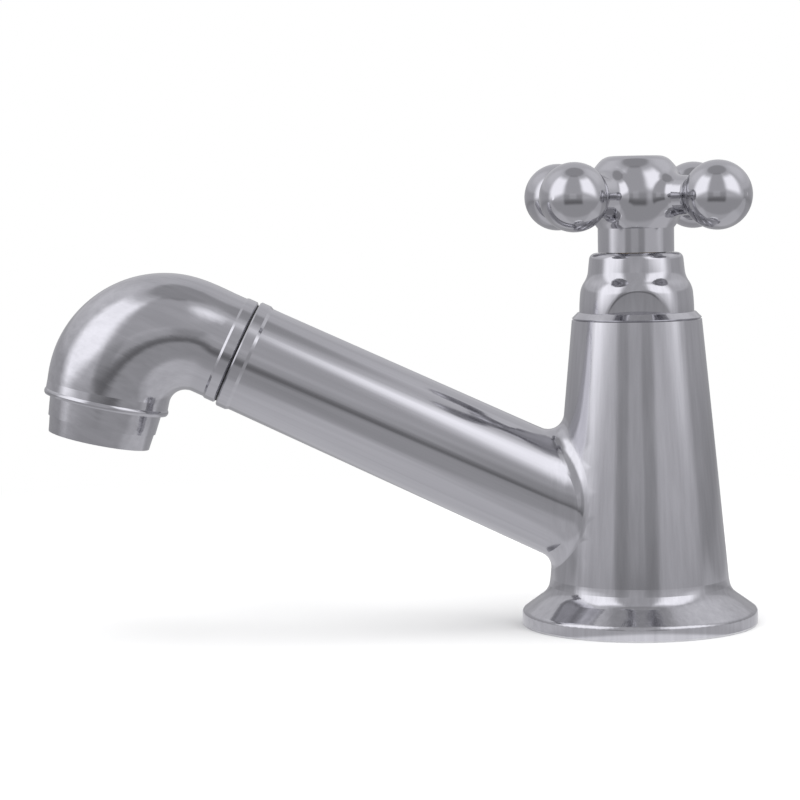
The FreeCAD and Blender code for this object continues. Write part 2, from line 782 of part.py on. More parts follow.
def make_handle_fittings():
    top = spline_top()
    low = top - spline_length
    sleeve = turned("insert_sleeve", [
        (0, low), (socket_r - slip, low), (socket_r - slip, top), (0, top)])
    hole = spline("insert_hole", spline_r + slip, low - 1, spline_length + 2)
    insert = doc.addObject("Part::Cut", "spline_insert")
    insert.Label = "spline_insert"
    insert.Base = sleeve
    insert.Tool = hole

    seat = screw_seat()
    tip = seat - screw_length
    screw = turned("handle_screw", [
        (0, tip), (screw_r - slip * 4, tip), (screw_r, tip + slip * 4), (screw_r, seat),
        (screw_head_r, seat), (screw_head_r, seat + screw_head), (0, seat + screw_head)])
    for name, angle in (("slot", 0), ("cross_slot", 90)):
        cut = solid(screw, "SubtractiveBox", name, Length=screw_r * 2,
                    Width=screw_r / 3, Height=screw_head)
        half = screw_r / 6
        corner = (-screw_r, -half) if angle == 0 else (half, -screw_r)
        place(cut, x=corner[0], y=corner[1], z=seat + screw_head / 2, axis=(0, 0, 1), angle=angle)

    button_low = hub_top() - button_thick
    button = turned("index_button", [
        (0, button_low), (button_r, button_low), (button_r, hub_top()), (0, hub_top())])
    rounded(button, "button_fillet", slip * 8, level_circle(button_r, hub_top()))
    return [insert, screw, button]


# --- valve --------------------------------------------------------------------------------

def driver_low():
    return seat_z + seal_thick + disc_thick * 2 + film * 2


def driver_high():
    return driver_low() + driver_thick


def lug_room_low():
    return driver_high() + film + ring_thick


def barrel_top():
    return dome_barrel() + column_top


def dome_barrel():
    """Height of the headwork's upper barrel above the column."""
    return dome_height - dome_wall - slip


def stem_ring_places():
    middle = column_top - headwork_thread / 2
    return middle - stem_ring_thick * 1.5, middle + stem_ring_thick * 1.5


def make_headwork():
    hollow_r = disc_r + slip
    stem_bore = stem_r + slip
    low = seat_z + seal_thick / 4
    thread_low = column_top - headwork_thread
    body = turned("headwork_body", [
        (hollow_r, low), (barrel_r, low), (barrel_r, thread_low),
        (headwork_thread_r, thread_low), (headwork_thread_r, column_top),
        (flange_r, column_top), (flange_r, column_top + flange_thick),
        (shroud_thread_r, column_top + flange_thick), (shroud_thread_r, barrel_top()),
        (stem_bore, barrel_top()), (stem_bore, lug_room_low()), (hollow_r, lug_room_low())])
    hexagon = solid(body, "AdditivePrism", "spanner_hex",
                    Circumradius=hex_across / root(sized(3)), Height=hex_height)
    hexagon.Polygon = 6
    place(hexagon, z=column_top + flange_thick)
    shaft = solid(body, "SubtractiveCylinder", "stem_bore", Radius=stem_bore,
                  Height=hex_height + 1)
    place(shaft, z=column_top + flange_thick - slip)
    # the stop: the spindle's lug turns in this sector only
    room = solid(body, "SubtractiveCylinder", "stop_room", Radius=lug_r + slip * 2,
                 Height=lug_height + film, Angle=lug_angle + quarter_turn + stop_play * 2)
    place(room, z=lug_room_low() - film, axis=(0, 0, 1), angle=-lug_angle / 2 - stop_play)
    # windows let the water out at the level of the discs
    window = solid(body, "SubtractiveCylinder", "windows", Radius=window_r, Height=barrel_r * 2 + 2)
    place(window, y=barrel_r + 1, z=seat_z + seal_thick + disc_thick * 1.5,
          axis=(1, 0, 0), angle=90)
    return body


def make_valve_fixed():
    seal = turned("seat_seal", [
        (riser_bore_r, seat_z), (disc_r, seat_z), (disc_r, seat_z + seal_thick),
        (riser_bore_r, seat_z + seal_thick)])
    disc_low = seat_z + seal_thick
    lower = turned("lower_disc", [
        (0, disc_low), (disc_r, disc_low), (disc_r, disc_low + disc_thick),
        (0, disc_low + disc_thick)])
    cut_ports(lower, "lower_port", disc_low, disc_thick, 0)
    thrust = ring("thrust_ring", lug_r + slip * 2, disc_r, driver_high() + film, lug_room_low())
    washer = ring("headwork_washer", headwork_thread_r + slip * 2, flange_r,
                  column_top - washer_thick, column_top)
    return [seal, lower, thrust, washer]


def cut_ports(body, name, low, height, first):
    """Two sector ports opposite each other; what lies between them stays as a web."""
    for number in range(2):
        port = solid(body, "SubtractiveCylinder", f"{name}_{number + 1}",
                     Radius=port_r, Height=height + 2, Angle=port_angle)
        start = 180 * number + first - port_angle / 2
        reach = port_r / 5
        middle = math.radians(180 * number + first)
        place(port, x=reach * math.cos(middle), y=reach * math.sin(middle), z=low - 1,
              axis=(0, 0, 1), angle=start)


def make_spindle():
    low = driver_low()
    high = driver_high()
    lug_top = lug_room_low() + lug_height - air / 2
    shoulder = spline_top() - spline_length - air
    clip_low = barrel_top() + film
    groove = stem_r - stem_ring_thick
    body = turned("spindle", [
        (0, low), (disc_r, low), (disc_r, high), (stem_r, high),
        (stem_r, clip_low), (stem_r - clip_thick / 2, clip_low),
        (stem_r - clip_thick / 2, clip_low + clip_thick), (stem_r, clip_low + clip_thick),
        (stem_r, shoulder), (0, shoulder)])
    for number, level in enumerate(stem_ring_places()):
        half = stem_ring_thick * 0.6
        turn(body, f"stem_groove_{number + 1}", [
            (groove, level - half), (stem_r + 1, level - half),
            (stem_r + 1, level + half), (groove, level + half)], kind="Groove")
    lug = solid(body, "AdditiveCylinder", "stop_lug", Radius=lug_r,
                Height=lug_top - high + slip, Angle=lug_angle)
    place(lug, z=high - slip, axis=(0, 0, 1), angle=-lug_angle / 2)
    tongue = solid(body, "AdditiveBox", "disc_tongue", Length=disc_r * 1.6,
                   Width=tongue_width, Height=tongue_deep + slip)
    place(tongue, x=-disc_r * 0.8, y=-tongue_width / 2, z=low - tongue_deep)

    teeth = spline("spindle_teeth", spline_r, shoulder - slip, spline_length + air + slip)
    toothed = doc.addObject("Part::Fuse", "spindle_toothed")
    toothed.Base = body
    toothed.Tool = teeth
    tapping = doc.addObject("Part::Cylinder", "spindle_tapping")
    bind(tapping, "Radius", screw_r + slip)
    bind(tapping, "Height", screw_length)
    place(tapping, z=spline_top() - screw_length + air)
    spindle = doc.addObject("Part::Cut", "spindle_cut")
    spindle.Base = toothed
    spindle.Tool = tapping
    body.Label = "spindle_stem"
    spindle.Label = "spindle"
    return spindle


def make_valve_turning():
    rings = o_rings("spindle_o_rings", stem_r - stem_ring_thick + slip / 2, stem_r + slip / 2,
                    stem_ring_places())
    clip_low = barrel_top() + film
    clip = turned("retaining_clip", [
        (stem_r - clip_thick / 2 + slip, clip_low), (clip_r, clip_low),
        (clip_r, clip_low + clip_thick), (stem_r - clip_thick / 2 + slip, clip_low + clip_thick)])
    mouth = solid(clip, "SubtractiveBox", "clip_mouth", Length=clip_r * 2,
                  Width=stem_r, Height=clip_thick * 3)
    place(mouth, y=-stem_r / 2, z=clip_low - clip_thick)

    disc_low = seat_z + seal_thick + disc_thick + film
    disc = turned("upper_disc", [
        (0, disc_low), (disc_r - film, disc_low), (disc_r - film, disc_low + disc_thick),
        (0, disc_low + disc_thick)])
    cut_ports(disc, "upper_port", disc_low, disc_thick, 90)
    slot = solid(disc, "SubtractiveBox", "tongue_slot", Length=disc_r * 1.6 + slip * 2,
                 Width=tongue_width + slip * 2, Height=tongue_deep + 1)
    place(slot, x=-disc_r * 0.8 - slip, y=-tongue_width / 2 - slip,
          z=disc_low + disc_thick - tongue_deep)
    return [rings, clip, disc]


# --- inlet and fixing ---------------------------------------------------------------------

def make_inlet():
    nut_low = -deck_thick - back_washer_thick - clamp_washer_thick - nut_height
    free_top = nut_low - relief
    grip_low = tail_grip - riser_grip
    tail = turned("inlet_tail", [
        (tail_bore_r, -tail_drop), (tail_r - tail_chamfer, -tail_drop),
        (tail_r, -tail_drop + tail_chamfer), (tail_r, free_top), (relief_r, free_top),
        (relief_r, nut_low), (tail_r, nut_low), (tail_r, tail_grip),
        (riser_grip_r + slip, tail_grip), (riser_grip_r + slip, grip_low),
        (tail_bore_r, grip_low)])
    collar = riser_grip_r + 1
    riser = turned("riser_tube", [
        (riser_bore_r, grip_low), (riser_grip_r, grip_low),
        (riser_grip_r, tail_grip + washer_thick), (collar, tail_grip + washer_thick),
        (collar, tail_grip + washer_thick * 2.5), (riser_r, tail_grip + washer_thick * 2.5),
        (riser_r, seat_z), (riser_bore_r, seat_z)])
    washer = ring("riser_washer", riser_grip_r + slip, collar, tail_grip,
                  tail_grip + washer_thick)
    return [tail, riser, washer]


def make_fixing():
    gasket = ring("deck_gasket", gasket_in_r + slip, gasket_out_r - slip, 0, gasket_thick)
    hole = tail_r + slip
    low = -deck_thick - back_washer_thick
    back = ring("back_washer", hole + air, back_washer_r, low, -deck_thick)
    clamp_low = low - clamp_washer_thick
    clamp = ring("clamp_washer", hole + air, clamp_washer_r, clamp_low, low)
    nut = new_body("back_nut")
    block = solid(nut, "AdditivePrism", "nut_hex",
                  Circumradius=nut_across / root(sized(3)), Height=nut_height)
    block.Polygon = 6
    place(block, z=clamp_low - nut_height)
    bore = solid(nut, "SubtractiveCylinder", "nut_bore", Radius=hole, Height=nut_height + 2)
    place(bore, z=clamp_low - nut_height - 1)
    return [gasket, back, clamp, nut]


pieces = [make_body_casting(), make_elbow()]
pieces += make_elbow_seals()
pieces += make_aerator()
pieces += [make_dome(), make_headwork()]
pieces += make_valve_fixed()
pieces += make_inlet()
pieces += make_fixing()
pieces += [make_cross_handle(), make_spindle()]
pieces += make_handle_fittings()
pieces += make_valve_turning()
doc.recompute()

failed = [t.Name for t in doc.Objects if "Invalid" in t.State or "Error" in t.State]
if failed:
    raise RuntimeError(f"these did not build: {failed}")
for piece in pieces:
    if piece.Shape.isNull() or not piece.Shape.isValid():
        raise RuntimeError(f"{piece.Label} has no valid shape")

os.makedirs("parts", exist_ok=True)
for piece in pieces:
    piece.Shape.exportStep(f"parts/{piece.Label}.step")
    print(f"{piece.Label}: {len(piece.Shape.Solids)} solid(s), {piece.Shape.Volume:.1f} mm3")
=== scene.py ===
import json
import math
import bmesh
import bpy
from mathutils import Matrix, Vector


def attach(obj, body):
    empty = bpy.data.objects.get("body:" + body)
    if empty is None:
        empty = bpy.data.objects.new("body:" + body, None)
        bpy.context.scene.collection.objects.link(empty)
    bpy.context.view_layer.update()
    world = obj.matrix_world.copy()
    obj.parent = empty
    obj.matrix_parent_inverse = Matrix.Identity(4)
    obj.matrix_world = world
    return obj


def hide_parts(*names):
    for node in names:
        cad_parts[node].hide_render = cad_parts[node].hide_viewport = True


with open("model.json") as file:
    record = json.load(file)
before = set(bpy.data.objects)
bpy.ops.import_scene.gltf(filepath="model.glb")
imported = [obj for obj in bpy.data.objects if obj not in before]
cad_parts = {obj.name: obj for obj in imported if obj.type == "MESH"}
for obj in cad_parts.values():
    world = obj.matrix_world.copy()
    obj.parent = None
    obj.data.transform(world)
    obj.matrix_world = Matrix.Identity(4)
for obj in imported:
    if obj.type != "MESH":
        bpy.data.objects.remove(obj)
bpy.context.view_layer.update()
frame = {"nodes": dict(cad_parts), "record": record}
scene = bpy.context.scene
print("frame loaded:", len(frame["nodes"]), "nodes")


# --- node helpers

def link(tree, fromSocket, toSocket):
    tree.links.new(fromSocket, toSocket)


def newGroup(name, inputs, outputs):
    group = bpy.data.node_groups.new(name, "ShaderNodeTree")
    for label, kind, value in inputs:
        socket = group.interface.new_socket(name=label, in_out="INPUT", socket_type=kind)
        socket.default_value = value
    for label, kind in outputs:
        group.interface.new_socket(name=label, in_out="OUTPUT", socket_type=kind)
    return group, group.nodes.new("NodeGroupInput"), group.nodes.new("NodeGroupOutput")


def rangeNode(tree, source, low, high):
    node = tree.nodes.new("ShaderNodeMapRange")
    link(tree, source, node.inputs["Value"])
    for key, value in (("To Min", low), ("To Max", high)):
        if hasattr(value, "is_linked"):
            link(tree, value, node.inputs[key])
        else:
            node.inputs[key].default_value = value
    return node.outputs["Result"]


def mathNode(tree, operation, first, second=None):
    node = tree.nodes.new("ShaderNodeMath")
    node.operation = operation
    for socket, value in zip(node.inputs, (first, second)):
        if value is None:
            continue
        if hasattr(value, "is_linked"):
            link(tree, value, socket)
        else:
            socket.default_value = value
    return node.outputs[0]


def softStep(tree, source, start, end):
    # 0 before start, 1 after end, smooth between them
    node = tree.nodes.new("ShaderNodeMapRange")
    node.interpolation_type = "SMOOTHSTEP"
    link(tree, source, node.inputs["Value"])
    node.inputs["From Min"].default_value = start
    node.inputs["From Max"].default_value = end
    return node.outputs["Result"]


def linkObject(name, data):
    thing = bpy.data.objects.new(name, data)
    scene.collection.objects.link(thing)
    return thing


# --- shared effects

def makeHandlingMarks():
    # soft patches of wiped water and fingermarks, a roughness between two values
    group, given, out = newGroup(
        "handlingMarks",
        [("Scale", "NodeSocketFloat", 60.0), ("Clean", "NodeSocketFloat", 0.03),
         ("Marked", "NodeSocketFloat", 0.08)],
        [("Roughness", "NodeSocketFloat")])
    coords = group.nodes.new("ShaderNodeTexCoord")
    patches = group.nodes.new("ShaderNodeTexNoise")
    patches.inputs["Detail"].default_value = 3.0
    link(group, coords.outputs["Object"], patches.inputs["Vector"])
    link(group, given.outputs["Scale"], patches.inputs["Scale"])
    spread = rangeNode(group, patches.outputs["Fac"], given.outputs["Clean"], given.outputs["Marked"])
    link(group, spread, out.inputs["Roughness"])
    return group


def makeFineGrain():
    # even small-scale grain, as a height for a bump
    group, given, out = newGroup(
        "fineGrain",
        [("Scale", "NodeSocketFloat", 900.0), ("Roughness", "NodeSocketFloat", 0.6)],
        [("Height", "NodeSocketFloat")])
    coords = group.nodes.new("ShaderNodeTexCoord")
    grain = group.nodes.new("ShaderNodeTexNoise")
    grain.inputs["Detail"].default_value = 4.0
    link(group, coords.outputs["Object"], grain.inputs["Vector"])
    link(group, given.outputs["Scale"], grain.inputs["Scale"])
    link(group, given.outputs["Roughness"], grain.inputs["Roughness"])
    link(group, grain.outputs["Fac"], out.inputs["Height"])
    return group


def makeToneShift():
    # slow drift between two colours over the surface
    group, given, out = newGroup(
        "toneShift",
        [("Scale", "NodeSocketFloat", 80.0), ("Light", "NodeSocketColor", (1, 1, 1, 1)),
         ("Dark", "NodeSocketColor", (0.5, 0.5, 0.5, 1))],
        [("Color", "NodeSocketColor")])
    coords = group.nodes.new("ShaderNodeTexCoord")
    drift = group.nodes.new("ShaderNodeTexNoise")
    drift.inputs["Detail"].default_value = 2.0
    mix = group.nodes.new("ShaderNodeMix")
    mix.data_type = "RGBA"
    link(group, coords.outputs["Object"], drift.inputs["Vector"])
    link(group, given.outputs["Scale"], drift.inputs["Scale"])
    link(group, drift.outputs["Fac"], mix.inputs["Factor"])
    link(group, given.outputs["Light"], mix.inputs["A"])
    link(group, given.outputs["Dark"], mix.inputs["B"])
    link(group, mix.outputs["Result"], out.inputs["Color"])
    return group


def makePolishLines():
    # fine lines left by polishing along one direction, a value from 0 to 1
    group, given, out = newGroup(
        "polishLines",
        [("Turn", "NodeSocketVector", (0, 0, 0)), ("Stretch", "NodeSocketVector", (1, 1, 0.03)),
         ("Scale", "NodeSocketFloat", 900.0)],
        [("Lines", "NodeSocketFloat")])
    coords = group.nodes.new("ShaderNodeTexCoord")
    turned = group.nodes.new("ShaderNodeMapping")
    stretched = group.nodes.new("ShaderNodeMapping")
    lines = group.nodes.new("ShaderNodeTexNoise")
    lines.inputs["Detail"].default_value = 2.0
    lines.inputs["Roughness"].default_value = 0.6
    link(group, coords.outputs["Object"], turned.inputs["Vector"])
    link(group, given.outputs["Turn"], turned.inputs["Rotation"])
    link(group, turned.outputs["Vector"], stretched.inputs["Vector"])
    link(group, given.outputs["Stretch"], stretched.inputs["Scale"])
    link(group, stretched.outputs["Vector"], lines.inputs["Vector"])
    link(group, given.outputs["Scale"], lines.inputs["Scale"])
    link(group, lines.outputs["Fac"], out.inputs["Lines"])
    return group


handlingMarks = makeHandlingMarks()
fineGrain = makeFineGrain()
toneShift = makeToneShift()
polishLines = makePolishLines()


def useGroup(tree, group, **values):
    node = tree.nodes.new("ShaderNodeGroup")
    node.node_tree = group
    for key, value in values.items():
        node.inputs[key].default_value = value
    return node


# --- finishes

allFinishes = dict(toneScale=60.0, ior=1.5)


def makeFinish(name, light, dark, metallic, clean, marked, markScale, grainScale, grainDepth):
    # a slow drift of tone, wiped patches in the roughness and a fine grain as bump
    material = bpy.data.materials.new(name)
    material.use_nodes = True
    tree = material.node_tree
    shader = tree.nodes["Principled BSDF"]
    shader.inputs["Metallic"].default_value = metallic
    shader.inputs["IOR"].default_value = allFinishes["ior"]
    tone = useGroup(tree, toneShift, Scale=allFinishes["toneScale"], Light=(*light, 1), Dark=(*dark, 1))
    link(tree, tone.outputs["Color"], shader.inputs["Base Color"])
    marks = useGroup(tree, handlingMarks, Scale=markScale, Clean=clean, Marked=marked)
    link(tree, marks.outputs["Roughness"], shader.inputs["Roughness"])
    grain = useGroup(tree, fineGrain, Scale=grainScale)
    bump = tree.nodes.new("ShaderNodeBump")
    bump.inputs["Strength"].default_value = 1.0
    bump.inputs["Distance"].default_value = grainDepth
    link(tree, grain.outputs["Height"], bump.inputs["Height"])
    link(tree, bump.outputs["Normal"], shader.inputs["Normal"])
    return material


finishes = {
    "polishedChrome": dict(light=(0.576, 0.574, 0.60), dark=(0.539, 0.537, 0.562), metallic=1.0, clean=0.07,
                           marked=0.14, markScale=45.0, grainScale=260.0, grainDepth=0.0000012),
    "turnedBrass": dict(light=(0.80, 0.62, 0.33), dark=(0.66, 0.48, 0.24), metallic=1.0, clean=0.22,
                        marked=0.36, markScale=120.0, grainScale=1800.0, grainDepth=0.00001),
    "blackRubber": dict(light=(0.035, 0.035, 0.036), dark=(0.02, 0.02, 0.021), metallic=0.0, clean=0.55,
                        marked=0.75, markScale=150.0, grainScale=2500.0, grainDepth=0.00002),
    "stainlessSteel": dict(light=(0.62, 0.61, 0.60), dark=(0.50, 0.50, 0.49), metallic=1.0, clean=0.22,
                           marked=0.34, markScale=150.0, grainScale=2200.0, grainDepth=0.000006),
    "lappedCeramic": dict(light=(0.90, 0.88, 0.83), dark=(0.84, 0.81, 0.76), metallic=0.0, clean=0.12,
                          marked=0.2, markScale=200.0, grainScale=1500.0, grainDepth=0.000004),
    "mouldedPlastic": dict(light=(0.72, 0.73, 0.74), dark=(0.66, 0.67, 0.68), metallic=0.0, clean=0.3,
                           marked=0.45, markScale=200.0, grainScale=1500.0, grainDepth=0.00001),
    "redFibre": dict(light=(0.48, 0.10, 0.07), dark=(0.33, 0.06, 0.04), metallic=0.0, clean=0.6,
                     marked=0.8, markScale=300.0, grainScale=3000.0, grainDepth=0.00003),
    "whiteFluoroplastic": dict(light=(0.92, 0.92, 0.90), dark=(0.86, 0.86, 0.84), metallic=0.0, clean=0.25,
                               marked=0.4, markScale=200.0, grainScale=1500.0, grainDepth=0.00001),
}
materials = {name: makeFinish(name, **values) for name, values in finishes.items()}

polish = dict(stretch=(1, 1, 0.02), columnScale=620.0, armScale=560.0, armRise=25.4,
              armStart=(-0.0175, -0.0235), handleStart=(0.0835, 0.0845), unlined=0.5,
              tone=(0.83, 1.14), depth=0.000016)


def addPolishLines(material):
    # the casting is polished up and down its column and along its arm; the handle isn't lined
    tree = material.node_tree
    shader = tree.nodes["Principled BSDF"]
    coords = tree.nodes.new("ShaderNodeTexCoord")
    place = tree.nodes.new("ShaderNodeSeparateXYZ")
    link(tree, coords.outputs["Object"], place.inputs[0])
    upright = useGroup(tree, polishLines, Stretch=polish["stretch"], Scale=polish["columnScale"])
    sloping = useGroup(tree, polishLines, Stretch=polish["stretch"], Scale=polish["armScale"],
                       Turn=(0, math.radians(90 - polish["armRise"]), 0))
    onArm = softStep(tree, place.outputs["X"], *polish["armStart"])
    lines = tree.nodes.new("ShaderNodeMix")
    link(tree, onArm, lines.inputs["Factor"])
    link(tree, upright.outputs["Lines"], lines.inputs["A"])
    link(tree, sloping.outputs["Lines"], lines.inputs["B"])
    onHandle = softStep(tree, place.outputs["Z"], *polish["handleStart"])
    bare = tree.nodes.new("ShaderNodeMix")
    link(tree, onHandle, bare.inputs["Factor"])
    link(tree, lines.outputs["Result"], bare.inputs["A"])
    bare.inputs["B"].default_value = polish["unlined"]
    # lines as a slight tone
    tone = tree.nodes.new("ShaderNodeMix")
    tone.data_type = "RGBA"
    tone.blend_type = "MULTIPLY"
    tone.inputs["Factor"].default_value = 1.0
    grey = tree.nodes.new("ShaderNodeCombineColor")
    level = rangeNode(tree, bare.outputs["Result"], *polish["tone"])
    for channel in grey.inputs:
        link(tree, level, channel)
    oldColor = shader.inputs["Base Color"].links[0].from_socket
    link(tree, oldColor, tone.inputs["A"])
    link(tree, grey.outputs["Color"], tone.inputs["B"])
    link(tree, tone.outputs["Result"], shader.inputs["Base Color"])
    # and as a bump over the fine grain's
    oldNormal = shader.inputs["Normal"].links[0].from_socket
    bump = tree.nodes.new("ShaderNodeBump")
    bump.inputs["Strength"].default_value = 1.0
    bump.inputs["Distance"].default_value = polish["depth"]
    link(tree, bare.outputs["Result"], bump.inputs["Height"])
    link(tree, oldNormal, bump.inputs["Normal"])
    link(tree, bump.outputs["Normal"], shader.inputs["Normal"])


addPolishLines(materials["polishedChrome"])

finishOfSlot = {"chrome": "polishedChrome", "brass": "turnedBrass", "rubber": "blackRubber",
                "steel": "stainlessSteel", "ceramic": "lappedCeramic", "plastic": "mouldedPlastic",
                "fibre": "redFibre", "ptfe": "whiteFluoroplastic"}
slotOfNode = {part["node"]: part["material_slot"] for part in frame["record"]["subparts"]}
for nodeName, node in frame["nodes"].items():
    material = materials[finishOfSlot[slotOfNode[nodeName]]]
    if not node.material_slots:
        node.data.materials.append(material)
    for materialSlot in node.material_slots:
        materialSlot.material = material
print("finishes given to", len(frame["nodes"]), "nodes")


# --- bonnet dome with its two spanner flats, in millimetres until the mesh is made

# each arc is its radius (hollow below 0), its lean from upright at both ends in degrees, and its steps;
# a flat lies flatFoot off the axis at its foot and flatRise farther for each millimetre up, and it
# falls away to its sides by the square of the distance over flatCrown
bonnet = dict(
    foot=69.8, footR=12.73,
    wallArcs=((44.36, 0.5, 6.0, 28), (5.319, 6.0, 34.08, 16), (-5.319, 34.08, 6.0, 14)),
    straight=2.657, lean=6.0, edgeArcs=((1.5, 6.0, 90.0, 10),), stemR=6.7, topThick=1.2, threadR=9.0,
    boreR=11.37, boreTop=6.1, flatFoot=11.53, flatRise=0.155, flatCrown=59.0, flatEdge=0.16, flatTurn=-3.9,
    insideR=11.5, turns=480, sharp=35.0, unit=0.001)


def followArcs(points, arcs):
    # adds the arcs' points, from the last point on
    across, up = points[-1]
    for bend, start, end, steps in arcs:
        leans = [math.radians(start + (end - start) * step / steps) for step in range(steps + 1)]
        for low, high in zip(leans, leans[1:]):
            across += bend * (math.cos(high) - math.cos(low))
            up += bend * (math.sin(high) - math.sin(low))
            points.append((across, up))


def bonnetOutline():
    points = [(bonnet["footR"], 0.0)]
    followArcs(points, bonnet["wallArcs"])
    across, up = points[-1]
    run = bonnet["straight"]
    points.append((across - run * math.tan(math.radians(bonnet["lean"])), up + run))
    followArcs(points, bonnet["edgeArcs"])
    top = points[-1][1]
    ceiling = top - bonnet["topThick"]
    points += [(bonnet["stemR"], top), (bonnet["stemR"], ceiling), (bonnet["threadR"], ceiling),
               (bonnet["threadR"], bonnet["boreTop"]), (bonnet["boreR"], bonnet["boreTop"]),
               (bonnet["boreR"], 0.0)]
    return points


def cutFlat(co):
    # one flat in front and one behind, each a little crowned, with a polished-over edge
    if math.hypot(co.x, co.y) < bonnet["insideR"]:
        return
    limit = bonnet["flatFoot"] + bonnet["flatRise"] * co.z - co.x * co.x / bonnet["flatCrown"]
    share = min(max(0.5 + 0.5 * (limit - abs(co.y)) / bonnet["flatEdge"], 0.0), 1.0)
    depth = limit + (abs(co.y) - limit) * share - bonnet["flatEdge"] * share * (1 - share)
    co.y = math.copysign(min(depth, abs(co.y)), co.y)


def makeBonnet():
    mesh = bpy.data.meshes.new("bonnetWithFlats")
    piece = linkObject("bonnetWithFlats", mesh)
    bm = bmesh.new()
    corners = [bm.verts.new((across, 0, up)) for across, up in bonnetOutline()]
    edges = [bm.edges.new(pair) for pair in zip(corners, corners[1:] + corners[:1])]
    bmesh.ops.spin(bm, geom=corners + edges, cent=(0, 0, 0), axis=(0, 0, 1), angle=math.tau,
                   steps=bonnet["turns"], use_merge=True)
    bmesh.ops.remove_doubles(bm, verts=bm.verts, dist=0.0001)
    for vert in bm.verts:
        cutFlat(vert.co)
        vert.co.z += bonnet["foot"]
        vert.co *= bonnet["unit"]
    # it was tightened to a little short of square to the front
    turned = Matrix.Rotation(math.radians(bonnet["flatTurn"]), 3, "Z")
    bmesh.ops.rotate(bm, verts=bm.verts, cent=(0, 0, 0), matrix=turned)
    bmesh.ops.recalc_face_normals(bm, faces=bm.faces)
    for face in bm.faces:
        face.smooth = True
    for edge in bm.edges:
        edge.smooth = edge.calc_face_angle(0.0) < math.radians(bonnet["sharp"])
    bm.to_mesh(mesh)
    bm.free()
    mesh.materials.append(materials["polishedChrome"])
    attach(piece, "tap_body")
    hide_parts("bonnet_dome")


makeBonnet()
print("bonnet built")


# --- studio

studio = dict(floorSize=4.0, floorColor=(0.9, 0.9, 0.9, 1), floorRoughness=0.9, floorMiddle=(-0.05, 0, 0),
              floorFade=(0.13, 0.3), airLevel=(0.6, 1.0))


def seenRay(tree):
    # 1 for what the camera sees, straight on or in metal and glass
    paths = tree.nodes.new("ShaderNodeLightPath")
    seen = mathNode(tree, "MAXIMUM", paths.outputs["Is Camera Ray"], paths.outputs["Is Glossy Ray"])
    return mathNode(tree, "MAXIMUM", seen, paths.outputs["Is Transmission Ray"])


def softWindow(tree, source, low, high, edge):
    rising = softStep(tree, source, low - edge, low + edge)
    falling = softStep(tree, source, high + edge, high - edge)
    return mathNode(tree, "MULTIPLY", rising, falling)


def centredDistance(tree, coords, centre):
    # distance from a centre, in object coordinates
    shift = tree.nodes.new("ShaderNodeVectorMath")
    shift.operation = "SUBTRACT"
    shift.inputs[1].default_value = centre
    link(tree, coords.outputs["Object"], shift.inputs[0])
    length = tree.nodes.new("ShaderNodeVectorMath")
    length.operation = "LENGTH"
    link(tree, shift.outputs[0], length.inputs[0])
    return length.outputs["Value"]


def makeFloor():
    # white paper, which fades into the white air round it, so that no horizon shows
    mesh = bpy.data.meshes.new("studioFloor")
    floor = linkObject("studioFloor", mesh)
    bm = bmesh.new()
    bmesh.ops.create_grid(bm, x_segments=1, y_segments=1, size=studio["floorSize"])
    bm.to_mesh(mesh)
    bm.free()
    material = bpy.data.materials.new("floorPaper")
    material.use_nodes = True
    tree = material.node_tree
    shader = tree.nodes["Principled BSDF"]
    shader.inputs["Base Color"].default_value = studio["floorColor"]
    shader.inputs["Roughness"].default_value = studio["floorRoughness"]
    white = tree.nodes.new("ShaderNodeEmission")
    blend = tree.nodes.new("ShaderNodeMixShader")
    coords = tree.nodes.new("ShaderNodeTexCoord")
    fade = softStep(tree, centredDistance(tree, coords, studio["floorMiddle"]), *studio["floorFade"])
    link(tree, mathNode(tree, "MULTIPLY", fade, seenRay(tree)), blend.inputs["Fac"])
    link(tree, shader.outputs["BSDF"], blend.inputs[1])
    link(tree, white.outputs["Emission"], blend.inputs[2])
    link(tree, blend.outputs["Shader"], tree.nodes["Material Output"].inputs["Surface"])
    mesh.materials.append(material)


# the tent's outline is in shares of its radius and height, from the top of its straight wall upward
tent = dict(radius=0.62, height=0.6, outline=((1.0, 0.7), (0.85, 0.93), (0.5, 1.0), (0.0, 1.03)),
            lift=0.0004, sides=96, centre=(0.0, 0.0, 0.08), color=(0.985, 0.98, 1.02, 1), level=0.66,
            tableTop=(0.002, 0.001))
# its glow, painted light and painted shade that only the chrome reflects: patches by azimuth (0 in front, +
# to the right), elevation and how soft their edges are, brighter where change is above 0 and darker below
tentPatches = {
    "leftWindow": dict(azimuth=(-90, -39), elevation=(25, 57), slant=0.33, soft=(10, 8), change=0.84),
    "rightWindow": dict(azimuth=(22, 70), elevation=(25, 57), slant=0.33, soft=(10, 8), change=0.84),
    "frontGap": dict(azimuth=(-38, 21), elevation=(9, 72), soft=(4, 3), change=-0.12),
    "frontLow": dict(azimuth=(-38, 21), elevation=(-18, 9), soft=(5, 4), change=-0.25),
    "frontStripe": dict(azimuth=(-20, 2), elevation=(-4, 12), soft=(3, 3), change=0.12),
    "ceiling": dict(azimuth=(-200, 200), elevation=(69, 100), soft=(5, 4), change=-0.25),
    "sideGlow": dict(azimuth=(90, 140), elevation=(28, 62), soft=(12, 10), change=0.15, mirrored=True),
    "sideLow": dict(azimuth=(84, 200), elevation=(-10, 12), soft=(4, 4), change=-0.17, mirrored=True),
    "tableShade": dict(azimuth=(-200, 200), elevation=(-95, -6), soft=(5, 8), change=-0.22),
    "tableSides": dict(azimuth=(55, 150), elevation=(-85, -32), soft=(8, 6), change=0.1, mirrored=True),
}
# painted light on the tent's table: a brighter strip across its middle and a bright spot just in front of
# the foot
paintedTableLightStrip = dict(halfWidth=0.055, edge=0.012, change=0.14)
paintedTableLightSpot = dict(centre=(0, -0.018, 0), radius=0.0165, edge=0.002, change=0.44)
